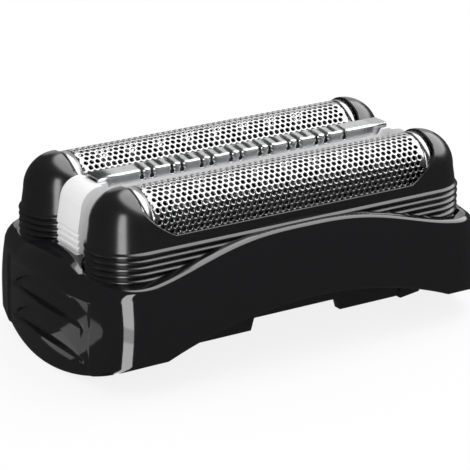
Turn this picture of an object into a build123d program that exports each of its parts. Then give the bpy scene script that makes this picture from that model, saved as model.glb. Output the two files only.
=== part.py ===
from build123d import *

import os
from math import cos, pi, sin

# Shaver foil head: two foils in floating frames, a long-hair trimmer between them, the cutters and
# the bridge that drives them, all held in one outer frame that clips onto a shaver.
# Millimetres. X runs along the foils, -Y is the front, +Z points to the skin.
# The origin is under the middle of the part, in the plane that the two end skirts rest on.

# Clearances and travels
stroke = 1.2
foil_travel = 2.0
trimmer_travel = 1.5
travel_clearance = 0.2
frame_gap = 0.35
housing_gap = 0.35
side_gap = 0.4
hook_play = 0.3
plate_fit = 0.15
slide_gap = 0.1
slide_clearance = 0.1
foil_seat_clearance = 0.05
cutter_gap = 0.15
comb_fit = 0.02
trimmer_gap = 0.08
trimmer_play = 0.4
fork_clearance = 0.05
drive_pin_clearance = 0.05

# Foils and their frames
window_length = 41.2
window_sill = 1.2
window_rise = 1.05
window_corner = 4.0
foil_radius = 3.9
foil_thickness = 0.15
foil_end_gap = 0.5
foil_tuck = 1.6
foil_flats = 9
hole_rows = 7
hole_pitch = 5.2
hole_radius = 0.62
plain_end = 2.6
lip_height = 0.25
dome_wall = 0.5
dome_flats = 8
dome_bands = 5
dome_ridge = 0.4
rib_flare = 0.6
rib_count = 5
rib_pitch = 0.78
rib_depth = 0.28
rib_clear = 0.1
pocket_roof_drop = 0.5
hook_height = 0.9
hook_reach = 0.9
hook_width = 4.0
hook_x = 12.0
shelf_height = 0.8

# Long-hair trimmer
comb_width = 2.8
comb_wall = 0.25
comb_height = 4.15
comb_below_foils = 0.5
finger_pitch = 2.5
finger_run = 31.0
slot_width = 0.5
slot_slant = 28.0
slot_reach = 0.9
slot_drop = 1.7
trimmer_blade_lift = 0.8
tooth_pitch = 4.0
flank_ledge = 0.5
flank_run = 0.65
flank_drop = 1.15
flank_fall = 2.1
cap_drop = 0.6
housing_overhang = 3.4
housing_wall = 0.7
floor_thickness = 0.8
housing_round = 2.6
housing_lean = 0.9
housing_leg = 3.0
housing_lift = 0.5
housing_lug = 1.4
housing_lug_height = 0.6
groove_depth = 0.15

# Cutters
blade_thickness = 0.3
blade_pitch = 4.0
blade_flats = 4
blade_end_gap = 1.0
blade_leg_length = 1.55
blade_leg = 1.1
rail_rise = 1.2
rail_height = 3.6
rail_overhang = 0.6
socket_wall = 0.8
spring_room = 1.2
post_width = 2.4
post_engagement = 1.8

# Drive bridge
bridge_thickness = 2.0
bridge_width = 4.8
bridge_reach = 2.2
hub_length = 5.2
hub_width = 5.2
hub_drop = 2.6
hub_corner = 0.8
drive_pin_radius = 1.7
drive_socket_roof = 0.7
fork_pin_width = 1.6
fork_engagement = 2.3
fork_prong = 1.05
fork_width = 2.4

# Base plate
plate_top = 7.4
plate_thickness = 1.2
plate_overhang = 4.4
plate_margin = 4.35
plate_corner = 4.0
skirt_drop = 1.2
skirt_thickness = 1.2
skirt_setback = 6.0
tab_start = 6.35
tab_end = 14.9
tab_drop = 2.7
tab_slope = 0.8
latch_start = 15.3
latch_end = 18.2
latch_drop = 3.1
latch_lip = 0.7
ear_width = 5.6
drain_start = 5.6
drain_length = 13.4
drain_width = 6.0
stop_width = 3.0
stop_x = 17.0
lug_height = 1.0

# Leaf springs
spring_thickness = 0.2
spring_crown = 0.3
foil_spring_height = 3.0
foil_spring_width = 1.8
foil_spring_span = 6.0
foil_spring_overhang = 1.9
trimmer_spring_height = 2.5
trimmer_spring_width = 2.6
trimmer_spring_span = 5.0
trimmer_spring_setback = 2.4
cutter_spring_width = 4.0
cutter_spring_span = 14.0

# Outer frame
rim_wall = 1.1
end_rim = 2.05
end_bulge = 2.4
side_bulge = 0.5
corner_radius = 4.4
corner_flare = 2.0
frame_wall = 1.3
skirt_height = 5.0
side_lean = 2.2
end_lean = 0.5
lean_bands = 2
arch_rise = 7.8
lobe_rise = 4.7
foot_length = 0.6
deck_thickness = 1.5
wave_height = 4.1
wave_overhang = 2.9
wave_foot_radius = 17.6
shoulder_radius = 1.6
tongue_height = 1.5
tongue_width = 9.0
tongue_crown = 0.6
grip_depth = 0.65
grip_width = 15.8
grip_arch = 3.8
grip_thickness = 3.1
grip_heights = (6.0, 9.4)

# Widths and lengths, from the trimmer and the foils outwards
dome_radius = foil_radius + dome_wall
rib_radius = dome_radius + rib_flare
housing_width = comb_width + 2 * (flank_ledge + flank_run)
foil_spacing = housing_width + 2 * (side_gap + rib_radius)
foil_y = foil_spacing / 2
dome_x = window_length / 2
frame_width = foil_spacing + 2 * (rib_radius + frame_gap + rim_wall + side_lean)
frame_length = window_length + 2 * (rib_radius + frame_gap + end_rim)
foil_length = window_length - 2 * foil_end_gap
comb_length = window_length
housing_length = window_length + 2 * housing_overhang
plate_length = window_length + 2 * plate_overhang
plate_width = foil_spacing + 2 * plate_margin
wave_run = window_length + 2 * wave_overhang
cutter_radius = foil_radius - foil_thickness - cutter_gap
blade_count = int((foil_length - 2 * (stroke + blade_end_gap)) / blade_pitch) + 1
blade_run = (blade_count - 1) * blade_pitch + blade_thickness
finger_count = int(finger_run / finger_pitch)
tooth_count = int(finger_run / tooth_pitch)
socket_width = post_width + 2 * slide_clearance
rail_width = 2 * (cutter_radius - blade_leg)
hub_room_x = hub_length / 2 + stroke + plate_fit
hub_room_y = hub_width / 2 + slide_gap

# Heights, from the base plate upwards
plate_under = plate_top - plate_thickness
bridge_bottom = plate_top + slide_gap
bridge_top = bridge_bottom + bridge_thickness
hub_bottom = plate_top - hub_drop
foil_frame_bottom = plate_top + foil_travel + travel_clearance
shelf_under = plate_top + foil_spring_height
deck_under = foil_frame_bottom + hook_height + hook_play
rim_height = deck_under + deck_thickness
wave_peak = rim_height + wave_height
rib_bottom = rim_height + rib_clear
rib_top = rib_bottom + rib_count * rib_pitch
window_bottom = rib_top + window_sill
pocket_roof = window_bottom - pocket_roof_drop
foil_edge = window_bottom - foil_tuck
foil_axis_z = window_bottom + window_rise
foil_top = foil_axis_z + foil_radius
dome_top = foil_top + lip_height
dome_axis_z = dome_top - dome_radius
blade_foot = foil_axis_z - blade_leg_length
rail_top = foil_axis_z + rail_rise
rail_bottom = rail_top - rail_height
socket_bottom = bridge_top + foil_travel + spring_room
post_top = socket_bottom + post_engagement
socket_top = post_top + foil_travel + travel_clearance
comb_top = foil_top - comb_below_foils
comb_bottom = comb_top - comb_height
housing_top = comb_top - cap_drop
flank_top = comb_top - flank_drop
flank_foot = flank_top - flank_fall
housing_bottom = bridge_top + trimmer_travel + housing_lift
housing_leg_bottom = plate_top + trimmer_spring_height
trimmer_blade_bottom = comb_bottom + trimmer_blade_lift
fork_pin_top = housing_bottom + fork_engagement
fork_root = fork_pin_top + trimmer_travel + travel_clearance


def bulged_outline(length, width, radius):
    """A rectangle with bowed sides and ends and rounded corners, centred on the origin."""
    end_x = length / 2
    side_y = width / 2
    corner_x = end_x - end_bulge
    corner_y = side_y - side_bulge
    outline = make_face(
        [
            ThreePointArc((corner_x, -corner_y), (end_x, 0), (corner_x, corner_y)),
            ThreePointArc((corner_x, corner_y), (0, side_y), (-corner_x, corner_y)),
            ThreePointArc((-corner_x, corner_y), (-end_x, 0), (-corner_x, -corner_y)),
            ThreePointArc((-corner_x, -corner_y), (0, -side_y), (corner_x, -corner_y)),
        ]
    )
    return fillet(outline.vertices(), radius)


def frame_outline(z, margin=0.0):
    """The frame's plan at height z, drawn in by a margin; the walls lean inwards above the skirt."""
    lean = (max(0.0, z - skirt_height) / (wave_peak - skirt_height)) ** 2
    length = frame_length - 2 * (end_lean * lean + margin)
    width = frame_width - 2 * (side_lean * lean + margin)
    return Pos(0, 0, z) * bulged_outline(length, width, corner_radius + corner_flare * lean - margin)


def frame_inside(margin):
    """The room under the deck, upright, at a distance from the outer walls."""
    return extrude(frame_outline(deck_under, margin), -deck_under)


def frame_block():
    """A solid block inside the frame's leaning walls, from the resting plane up to the wave's peak."""
    skirt = extrude(frame_outline(0), skirt_height)
    rise = wave_peak - skirt_height
    heights = [skirt_height + rise * band / lean_bands for band in range(lean_bands + 1)]
    return skirt + loft([frame_outline(z) for z in heights], ruled=True)


def block(x0, x1, y0, y1, z0, z1):
    """A box between two corners."""
    size = Box(x1 - x0, y1 - y0, z1 - z0)
    return Pos((x0 + x1) / 2, (y0 + y1) / 2, (z0 + z1) / 2) * size


def side_face(lines):
    """A face drawn in X and Z, as seen from the front."""
    return Plane.XZ * make_face(lines)


def through(face, width):
    """A face in the XZ plane pushed out to both sides along Y."""
    return extrude(face, width / 2, both=True)


def leaf_spring(span, rise, width):
    """A bent strip along X, standing on its two ends with a flat crown at the given rise."""
    foot = span / 2
    crown = spring_crown * foot
    outside = [(-foot, 0), (-crown, rise), (crown, rise), (foot, 0)]
    inside = [
        (foot - spring_thickness, 0), (crown - spring_thickness / 2, rise - spring_thickness),
        (spring_thickness / 2 - crown, rise - spring_thickness), (spring_thickness - foot, 0),
    ]
    return through(side_face(Polyline(*outside, *inside, close=True)), width)


def arch_points(radius, flats):
    """The corners of a half round drawn with even flats, from +X over the top to -X."""
    return [(radius * cos(pi * i / flats), radius * sin(pi * i / flats)) for i in range(flats + 1)]


def arch_section(radius, flats, foot):
    """An arch across the foil's axis, standing on straight legs down to a height."""
    arch = [(y, foil_axis_z + z) for y, z in arch_points(radius, flats)]
    return Plane.YZ * make_face(Polyline(*arch, (-radius, foot), (radius, foot), close=True))


def stadium(radius, z):
    """Corners of a foil frame's plan at a distance from its axis: straight sides and ends of even flats."""
    end = [(dome_x + x, -y, z) for y, x in arch_points(radius, dome_flats)]
    return end + [(-x, -y, z) for x, y, z in end]


def flat_faced(rings):
    """A solid with flat faces between rings of corners, from the bottom ring to the top ring."""
    faces = [Face(Wire.make_polygon(ring)) for ring in (rings[0], rings[-1])]
    for low, high in zip(rings, rings[1:]):
        for i in range(len(low)):
            faces.append(Face(Wire.make_polygon([low[i - 1], low[i], high[i], high[i - 1]])))
    return Solid(Shell(faces))


def frame_side_view():
    """The frame seen from the front: the arched lower edge and the waved upper edge."""
    end = frame_length / 2
    foot = end - foot_length
    wave = wave_run / 2
    shoulder_z = rim_height - shoulder_radius
    shoulder_x = end - shoulder_radius
    bend = 2 * wave_height * wave_foot_radius / (wave**2 + wave_height**2)
    bend_x = wave * (1 - bend)
    bend_z = rim_height + wave_height * bend
    return side_face(
        [
            Line((-end, 0), (-foot, 0)),
            ThreePointArc((-foot, 0), (0, arch_rise), (foot, 0)),
            Line((foot, 0), (end, 0)),
            Line((end, 0), (end, shoulder_z)),
            CenterArc((shoulder_x, shoulder_z), shoulder_radius, 0, 90),
            Line((shoulder_x, rim_height), (wave, rim_height)),
            TangentArc((wave, rim_height), (bend_x, bend_z), tangent=(-1, 0)),
            ThreePointArc((bend_x, bend_z), (0, wave_peak), (-bend_x, bend_z)),
            TangentArc((-wave, rim_height), (-bend_x, bend_z), tangent=(1, 0)),
            Line((-wave, rim_height), (-shoulder_x, rim_height)),
            CenterArc((-shoulder_x, shoulder_z), shoulder_radius, 90, 90),
            Line((-end, shoulder_z), (-end, 0)),
        ]
    )


def frame_end_view():
    """The frame seen from the end: all that lies above the lobed lower edge."""
    half = frame_width / 2
    top = wave_peak + frame_wall
    return Plane.YZ * make_face(
        [
            ThreePointArc((-half, lobe_rise), (0, 0), (half, lobe_rise)),
            Line((half, lobe_rise), (half, top)),
            Line((half, top), (-half, top)),
            Line((-half, top), (-half, lobe_rise)),
        ]
    )


def frame_tongues():
    """The raised noses between the domes, one at each end, sloping down to the end faces."""
    half = tongue_width / 2
    top = rim_height + tongue_height
    hump = make_face(
        [
            ThreePointArc((-half, rim_height), (0, top), (half, rim_height)),
            Line((half, rim_height), (half, deck_under)),
            Line((half, deck_under), (-half, deck_under)),
            Line((-half, deck_under), (-half, rim_height)),
        ]
    )
    end = frame_length / 2
    ridge = extrude(Plane.YZ * hump, end, both=True)
    slope_start = housing_length / 2 + housing_gap
    shoulder_z = rim_height - shoulder_radius
    crest = top + tongue_crown
    under = deck_under - deck_thickness
    nose = side_face(
        [
            Line((-end, under), (end, under)),
            Line((end, under), (end, shoulder_z)),
            TangentArc((slope_start, crest), (end, shoulder_z), tangent=(1, 0)),
            Line((slope_start, crest), (-slope_start, crest)),
            TangentArc((-slope_start, crest), (-end, shoulder_z), tangent=(-1, 0)),
            Line((-end, shoulder_z), (-end, under)),
        ]
    )
    return ridge & through(nose, frame_width)


def grip_hollows():
    """Arched finger hollows in both end faces, flat inside, fading out where the ends curve away."""
    half = grip_width / 2
    floor_x = frame_length / 2 - grip_depth
    cuts = []
    for top in grip_heights:
        tip = top - grip_arch
        crescent = make_face(
            [
                ThreePointArc((-half, tip), (0, top), (half, tip)),
                ThreePointArc((half, tip), (0, top - grip_thickness), (-half, tip)),
            ]
        )
        hollow = Pos(floor_x, 0, 0) * extrude(Plane.YZ * crescent, 2 * grip_depth)
        cuts += [hollow, mirror(hollow, Plane.YZ)]
    return cuts


def make_outer_frame():
    """One moulding: leaning walls with waved edges, round cut-outs for the foil frames, end grips."""
    outer = frame_block()
    body = (outer & through(frame_side_view(), 2 * frame_width)) + (frame_tongues() & outer)
    body &= extrude(frame_end_view(), frame_length, both=True)
    body -= grip_hollows()
    body -= frame_inside(frame_wall)
    above = wave_peak + frame_wall
    opening = rib_radius + frame_gap
    cut_out = flat_faced([stadium(opening, plate_top), stadium(opening, above)])
    for side in (-1, 1):
        body -= Pos(0, side * foil_y, 0) * cut_out
    body -= block(-dome_x, dome_x, -foil_y, foil_y, deck_under, above)
    nose_x = housing_length / 2 + housing_gap
    nose_y = housing_width / 2 + housing_gap
    body -= block(-nose_x, nose_x, -nose_y, nose_y, deck_under, above)
    inside = foil_y + rib_radius + frame_gap
    for side_x in (-1, 1):
        for side_y in (-1, 1):
            x0 = side_x * stop_x - stop_width / 2
            x1 = x0 + stop_width
            y0, y1 = sorted((side_y * inside, side_y * frame_width / 2))
            stop = block(x0, x1, y0, y1, plate_top, deck_under)
            lug = block(x0, x1, y0, y1, plate_under - lug_height, plate_under)
            body += (stop + lug) & outer
    return body


def foil_frame_profile():
    """The foil frame's cross-section from the bottom up, as pairs of half width and height."""
    profile = [(rib_radius, foil_frame_bottom), (rib_radius, rib_bottom - rib_pitch / 2)]
    for rib in range(rib_count):
        z = rib_bottom + rib * rib_pitch
        profile.append((rib_radius - rib_depth, z))
        profile.append((rib_radius, z + rib_pitch / 2))
    profile.append((rib_radius - rib_depth, rib_top))
    quarter = arch_points(dome_radius, 2 * dome_bands)[:dome_bands]
    profile += [(width, dome_axis_z + z) for width, z in quarter]
    profile.append((dome_ridge, dome_top))
    return profile


def make_foil_frame():
    """A foil frame on its own axis, with its outer side at -Y: dome ends, ribs, window and hooks."""
    body = flat_faced([stadium(radius, z) for radius, z in foil_frame_profile()])
    inside = foil_radius + foil_seat_clearance
    body -= extrude(arch_section(inside, foil_flats, foil_frame_bottom), dome_x, both=True)
    body -= flat_faced([stadium(inside, foil_frame_bottom), stadium(inside, pocket_roof)])
    window_height = dome_top + window_corner - window_bottom
    opening = RectangleRounded(window_length, window_height, window_corner)
    body -= through(Plane.XZ * (Pos(0, window_bottom + window_height / 2) * opening), 4 * rib_radius)
    notch_x = bridge_width / 2 + stroke + frame_gap
    notch_top = bridge_top + foil_travel + frame_gap
    body -= block(-notch_x, notch_x, 0, 2 * rib_radius, foil_frame_bottom, notch_top)
    hook = [
        (-inside, deck_under - hook_play), (-rib_radius - hook_reach, deck_under - hook_play),
        (-rib_radius, foil_frame_bottom), (-inside, foil_frame_bottom),
    ]
    hook = extrude(Plane.YZ * make_face(Polyline(*hook, close=True)), hook_width / 2, both=True)
    shelf_top = shelf_under + shelf_height
    bulkhead = flat_faced([stadium(rib_radius, shelf_under), stadium(rib_radius, shelf_top)])
    for side in (-1, 1):
        x0, x1 = sorted((side * dome_x, side * (dome_x + rib_radius)))
        body += bulkhead & block(x0, x1, -rib_radius, rib_radius, shelf_under, shelf_top)
        body += Pos(side * hook_x, 0, 0) * hook
    return body


def make_foil():
    """A thin arched foil with staggered diamond holes, on its own axis."""
    inner = foil_radius - foil_thickness
    sheet = arch_section(foil_radius, foil_flats, foil_edge) - arch_section(inner, foil_flats, foil_edge)
    body = extrude(sheet, foil_length / 2, both=True)
    run = foil_length - 2 * plain_end
    punch = extrude(RegularPolygon(hole_radius, 4), foil_radius / 2, both=True)
    holes = []
    for row in range(hole_rows):
        turn = (row - (hole_rows - 1) / 2) * 180 / foil_flats
        count = int(run / hole_pitch) + row % 2
        for column in range(count):
            x = (column - (count - 1) / 2) * hole_pitch
            holes.append(Pos(0, 0, foil_axis_z) * Rot(turn, 0, 0) * Pos(x, 0, foil_radius) * punch)
    return body - holes


def make_blades():
    """The cutter's arched blades, upright on the rail and evenly spaced along X."""
    saddle = Pos(0, rail_top - rail_height / 2) * Rectangle(rail_width, rail_height)
    section = arch_section(cutter_radius, blade_flats, blade_foot) - Plane.YZ * saddle
    plate = extrude(section, blade_thickness / 2, both=True)
    places = [(index - (blade_count - 1) / 2) * blade_pitch for index in range(blade_count)]
    return [Pos(x, 0, 0) * plate for x in places]


def make_carrier():
    """The plastic rail that the blades straddle, with a socket that slides on the bridge's post."""
    half = blade_run / 2 + rail_overhang
    body = block(-half, half, -rail_width / 2, rail_width / 2, rail_bottom, rail_top)
    boss = socket_width / 2 + socket_wall
    body += block(-boss, boss, -boss, boss, socket_bottom, rail_bottom)
    bore = socket_width / 2
    return body - block(-bore, bore, -bore, bore, socket_bottom, socket_top)


def make_cutter_spring():
    """A bent leaf spring with its crown down on the bridge and its ends under the cutter's rail."""
    rise = rail_bottom - bridge_top
    strip = leaf_spring(cutter_spring_span, rise, cutter_spring_width)
    strip = Pos(0, 0, rail_bottom) * Rot(180, 0, 0) * strip
    hole = socket_width / 2
    return strip - block(-hole, hole, -hole, hole, bridge_top, bridge_top + rise / 2)


def channel(width, wall, bottom, top, length):
    """A folded channel along X, open downwards."""
    outer = block(-length / 2, length / 2, -width / 2, width / 2, bottom, top)
    return outer - block(-length / 2, length / 2, wall - width / 2, width / 2 - wall, bottom, top - wall)


def make_comb():
    """The folded trimmer comb, cut from both sides into one winding row of slanted fingers."""
    body = channel(comb_width, comb_wall, comb_bottom, comb_top, comb_length)
    reach = comb_width / 2 + slot_reach
    cuts = []
    for index in range(finger_count):
        x = (index - (finger_count - 1) / 2) * finger_pitch
        for side, shift in ((-1, -finger_pitch / 4), (1, finger_pitch / 4)):
            slot = Box(slot_width, reach, slot_drop)
            slot = Pos(0, side * (comb_width / 2 - reach / 2 + slot_width / 2), 0) * slot
            z = comb_top - slot_drop / 2 + comb_wall / 2
            cuts.append(Pos(x + shift, 0, z) * Rot(0, 0, -slot_slant) * slot)
    return body - cuts


def make_trimmer_blade():
    """The inner trimmer blade: a smaller channel with straight teeth, sliding inside the comb."""
    width = comb_width - 2 * (comb_wall + trimmer_gap)
    top = comb_top - comb_wall - trimmer_gap
    length = comb_length - 2 * (stroke + trimmer_play)
    body = channel(width, comb_wall, trimmer_blade_bottom, top, length)
    cuts = []
    for index in range(tooth_count):
        x = (index - (tooth_count - 1) / 2) * tooth_pitch
        if abs(x) > fork_prong + fork_pin_width / 2 + slot_width:
            cuts.append(block(x - slot_width / 2, x + slot_width / 2, -width, width, top - slot_drop, top))
    return body - cuts


def make_trimmer_driver():
    """The plastic key under the trimmer blade, with a fork that straddles the bridge's pin."""
    inner = comb_width / 2 - 2 * comb_wall - trimmer_gap
    half = fork_pin_width / 2 + fork_clearance + fork_prong
    top = comb_top - 2 * comb_wall - trimmer_gap
    body = block(-half, half, -inner, inner, fork_root, top)
    body += block(-half, half, -fork_width / 2, fork_width / 2, housing_bottom, fork_root + fork_prong)
    slot = fork_pin_width / 2 + fork_clearance
    return body - block(-slot, slot, -fork_width, fork_width, housing_bottom, fork_root)


def make_housing():
    """The pale trimmer housing: sloped flanks beside the comb, rounded ends, grooves and legs."""
    half = housing_length / 2
    side = housing_width / 2
    ledge = comb_width / 2 + flank_ledge
    cap = half - housing_lean
    view = [(-half, housing_bottom), (half, housing_bottom), (half, rib_top), (cap, housing_top)]
    view = make_face(Polyline(*view, (-cap, housing_top), (-half, rib_top), close=True))
    view = fillet(view.vertices().group_by(Axis.Y)[-1], housing_round)
    body = through(Plane.XZ * view, housing_width)
    flank = [(ledge, housing_top), (ledge, flank_top), (side, flank_foot), (side, housing_top)]
    flank = extrude(Plane.YZ * make_face(Polyline(*flank, close=True)), comb_length / 2, both=True)
    body -= [flank, mirror(flank, Plane.XZ)]
    for row in range(rib_count):
        z = rib_top - rib_pitch * (row + 0.5)
        for x in (-half, half):
            body -= Pos(x, 0, z) * Rot(0, 45, 0) * Box(2 * groove_depth, housing_width, 2 * groove_depth)
    floor = comb_bottom - floor_thickness
    room = side - housing_wall
    body -= block(-half + housing_leg, half - housing_leg, -room, room, housing_bottom, floor)
    channel_side = comb_width / 2 + comb_fit
    end = comb_length / 2 + comb_fit
    body -= block(-end, end, -channel_side, channel_side, comb_bottom, housing_top)
    slot = fork_pin_width / 2 + fork_clearance + fork_prong + stroke + trimmer_play
    body -= block(-slot, slot, -channel_side, channel_side, floor, comb_bottom)
    for sign in (-1, 1):
        x0, x1 = sorted((sign * half, sign * (half - housing_leg)))
        body += block(x0, x1, -room, room, housing_leg_bottom, housing_bottom)
        x0, x1 = sorted((sign * half, sign * (half + housing_lug)))
        lug_top = deck_under - hook_play
        body += block(x0, x1, -room, room, lug_top - housing_lug_height, lug_top)
    return body


def make_bridge():
    """The oscillating bridge: hub with the drive socket, two arms, the cutters' posts and the fork pin."""
    plan = Rectangle(bridge_width, 2 * (foil_y + bridge_reach))
    plan = chamfer(plan.vertices(), hub_corner)
    hub = Rectangle(hub_length, hub_width)
    hub = chamfer(hub.vertices(), hub_corner)
    body = Pos(0, 0, bridge_bottom) * extrude(plan, bridge_thickness)
    body += Pos(0, 0, hub_bottom) * extrude(hub, bridge_bottom - hub_bottom)
    post = Pos(0, 0, bridge_top) * extrude(Rectangle(post_width, post_width), post_top - bridge_top)
    for side in (-1, 1):
        body += Pos(0, side * foil_y, 0) * post
    pin = fork_pin_width / 2
    body += block(-pin, pin, -pin, pin, bridge_top, fork_pin_top)
    socket = drive_pin_radius + drive_pin_clearance
    depth = bridge_top - hub_bottom - drive_socket_roof
    return body - Pos(0, 0, hub_bottom) * extrude(Circle(socket), depth)


def make_base_plate():
    """The inner plate: seats for the springs, slot for the hub, skirts with latch tabs, side ears."""
    plan = Rectangle(plate_length, plate_width)
    plan = chamfer(plan.vertices(), plate_corner)
    body = Pos(0, 0, plate_under) * extrude(plan, plate_thickness)
    inside = frame_inside(frame_wall + plate_fit)
    for side_x in (-1, 1):
        x = side_x * stop_x
        half = ear_width / 2
        ears = block(x - half, x + half, -frame_width / 2, frame_width / 2, plate_under, plate_top)
        body += ears & inside
    body -= block(-hub_room_x, hub_room_x, -hub_room_y, hub_room_y, plate_under, plate_top)
    drain = Rectangle(drain_length, drain_width)
    for side_x in (-1, 1):
        for side_y in (-1, 1):
            x = side_x * (drain_start + drain_length / 2)
            body -= Pos(x, side_y * foil_y, plate_under) * extrude(drain, plate_thickness)
    skirt = plate_length / 2 - skirt_setback
    skirt_bottom = plate_under - skirt_drop
    tab_bottom = plate_under - tab_drop
    latch_bottom = plate_under - latch_drop
    tab = [
        (tab_start - tab_slope, plate_under), (tab_start, tab_bottom), (tab_end, tab_bottom),
        (tab_end, plate_under),
    ]
    latch = [
        (latch_start, plate_under), (latch_start, latch_bottom), (latch_end, latch_bottom + latch_lip / 2),
        (latch_end + latch_lip, plate_under),
    ]
    for side in (-1, 1):
        y0, y1 = sorted((side * plate_width / 2, side * (plate_width / 2 - skirt_thickness)))
        body += block(-skirt, skirt, y0, y1, skirt_bottom, plate_under)
        for outline in (tab, latch):
            for sign in (-1, 1):
                points = [(sign * x, z) for x, z in outline]
                wall = through(side_face(Polyline(*points, close=True)), skirt_thickness)
                body += Pos(0, (y0 + y1) / 2, 0) * wall
    return body


def make_foil_springs():
    """The two bowed leaf springs under the ends of one foil frame, on its own axis."""
    strip = Rot(0, 0, 90) * leaf_spring(foil_spring_span, foil_spring_height, foil_spring_width)
    place = dome_x + foil_spring_overhang
    return [Pos(sign * place, 0, plate_top) * strip for sign in (-1, 1)]


def make_trimmer_springs():
    """The two bowed leaf springs under the legs of the trimmer housing."""
    strip = leaf_spring(trimmer_spring_span, trimmer_spring_height, trimmer_spring_width)
    place = housing_length / 2 - trimmer_spring_setback
    return [Pos(sign * place, 0, plate_top) * strip for sign in (-1, 1)]


def front_and_rear(name, shapes):
    """The same piece on the front axis and, turned round, on the rear axis."""
    shape = Compound(shapes) if isinstance(shapes, list) else shapes
    front = Pos(0, -foil_y, 0) * shape
    return {"front_" + name: front, "rear_" + name: Rot(0, 0, 180) * front}


def make_parts():
    """All pieces by node name."""
    parts = {"outer_frame": make_outer_frame()}
    parts["base_plate"] = make_base_plate()
    parts["drive_bridge"] = make_bridge()
    parts.update(front_and_rear("foil_frame", make_foil_frame()))
    parts.update(front_and_rear("foil", make_foil()))
    parts.update(front_and_rear("foil_springs", make_foil_springs()))
    parts.update(front_and_rear("cutter_blades", make_blades()))
    parts.update(front_and_rear("cutter_carrier", make_carrier()))
    parts.update(front_and_rear("cutter_spring", make_cutter_spring()))
    parts["trimmer_housing"] = make_housing()
    parts["trimmer_comb"] = make_comb()
    parts["trimmer_blade"] = make_trimmer_blade()
    parts["trimmer_driver"] = make_trimmer_driver()
    parts["trimmer_springs"] = Compound(make_trimmer_springs())
    return parts


if __name__ == "__main__":
    os.makedirs("parts", exist_ok=True)
    for node, shape in make_parts().items():
        export_step(shape, f"parts/{node}.step")
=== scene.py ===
"""Looks of the shaver foil head: its mouldings, perforated foils, comb and finishes."""

import logging
from dataclasses import dataclass, field
from enum import Enum
from math import asin, atan2, ceil, cos, pi, radians, sin, sqrt

import bmesh
import bpy
from mathutils import Matrix, Vector


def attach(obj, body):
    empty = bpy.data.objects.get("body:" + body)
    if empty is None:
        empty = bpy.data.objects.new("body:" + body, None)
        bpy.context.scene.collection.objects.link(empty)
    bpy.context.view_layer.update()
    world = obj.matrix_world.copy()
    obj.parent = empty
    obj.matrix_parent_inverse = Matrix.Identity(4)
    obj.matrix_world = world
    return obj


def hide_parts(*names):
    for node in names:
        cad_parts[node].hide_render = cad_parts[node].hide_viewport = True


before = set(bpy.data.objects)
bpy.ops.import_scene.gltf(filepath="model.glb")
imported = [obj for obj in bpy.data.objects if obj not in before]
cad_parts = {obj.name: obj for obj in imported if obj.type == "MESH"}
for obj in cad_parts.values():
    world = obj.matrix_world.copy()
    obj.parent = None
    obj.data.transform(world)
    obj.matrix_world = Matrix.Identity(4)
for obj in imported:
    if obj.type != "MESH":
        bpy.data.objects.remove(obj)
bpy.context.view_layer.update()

LOG = logging.getLogger("shaver_foil_head")
MM = 0.001
WELD = 0.002
CUT_TOLERANCE = 1e-5
FLAT_ANGLE = radians(3)
ROUND_ANGLE = radians(25)


class Body(str, Enum):
    """The bodies that the new pieces ride on."""

    FRAME = "frame"
    FRONT_FOIL = "front_foil_unit"
    REAR_FOIL = "rear_foil_unit"
    TRIMMER = "trimmer_unit"


class Side(Enum):
    """Which of the two foil units, with the side of the middle that it lies on."""

    FRONT = -1
    REAR = 1

    @property
    def word(self) -> str:
        """The side's name as it stands in the node names."""
        return self.name.lower()


def smoothstep(low: float, high: float, value: float) -> float:
    """Ease from 0 at low to 1 at high.

    Args:
        low: Value at which the ease starts.
        high: Value at which it ends.
        value: Where it is read.

    Returns:
        A number from 0 to 1.
    """
    part = min(1.0, max(0.0, (value - low) / (high - low)))
    return part * part * (3 - 2 * part)


def spread(low: float, high: float, count: int) -> list[float]:
    """Evenly spaced numbers from low to high, both included.

    Args:
        low: First number.
        high: Last number.
        count: How many steps lie between them.

    Returns:
        count + 1 numbers.
    """
    return [low + (high - low) * step / count for step in range(count + 1)]


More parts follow.
